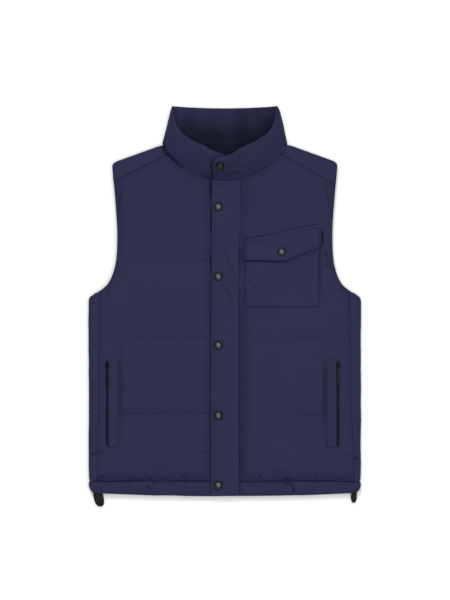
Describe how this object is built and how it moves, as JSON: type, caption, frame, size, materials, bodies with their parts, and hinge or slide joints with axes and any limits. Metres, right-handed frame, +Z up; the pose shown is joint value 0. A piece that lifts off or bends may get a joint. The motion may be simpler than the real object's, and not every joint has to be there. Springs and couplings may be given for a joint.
{
  "type": "quilted vest",
  "caption": "Sleeveless quilted body warmer with stand collar, snap placket, chest flap pocket and zipped hand pockets, laid flat on its back",
  "frame": {"origin": "on the surface under the middle of the whole outline, hem toggles included", "axes": "+Z up out of the fronts, +Y from the hem to the collar, +X to the wearer's left"},
  "size_m": [0.545, 0.8014, 0.0468],
  "materials": {
    "shell": "navy woven shell, soft matt sheen",
    "zip_tape": "dark navy woven tape with coil",
    "slider_metal": "antique brass",
    "snap_metal": "gunmetal, aged",
    "toggle_plastic": "satin black-brown"
  },
  "bodies": {
    "garment": {"back_panel": "shell", "yoke": "shell", "side_panel_right": "shell", "side_panel_left": "shell", "front_right": "shell", "front_left": "shell", "hem_band_back": "shell", "hem_band_right": "shell", "hem_band_left": "shell", "placket": "shell", "collar": "shell", "chest_pocket": "shell", "chest_flap": "shell", "pocket_welt_right": "shell", "pocket_welt_left": "shell", "pocket_zip_right": "zip_tape", "pocket_zip_left": "zip_tape", "zip_slider_right": "slider_metal", "zip_slider_left": "slider_metal", "snap_collar": "snap_metal", "snap_placket_1": "snap_metal", "snap_placket_2": "snap_metal", "snap_placket_3": "snap_metal", "snap_placket_4": "snap_metal", "snap_placket_5": "snap_metal", "snap_flap": "snap_metal", "drawcord_toggle_right": "toggle_plastic", "drawcord_toggle_left": "toggle_plastic"},
    "pull_right": {"zip_pull_right": "slider_metal"},
    "pull_left": {"zip_pull_left": "slider_metal"}
  },
  "joints": [
    {"name": "zip_pull_right_swing", "type": "hinge", "parent": "garment", "child": "pull_right", "pos_m": [-0.2353, -0.1185, 0.03345], "axis": [-1, 0, 0], "range_deg": [0, 160]},
    {"name": "zip_pull_left_swing", "type": "hinge", "parent": "garment", "child": "pull_left", "pos_m": [0.2267, -0.1185, 0.03409], "axis": [-1, 0, 0], "range_deg": [0, 160]}
  ]
}
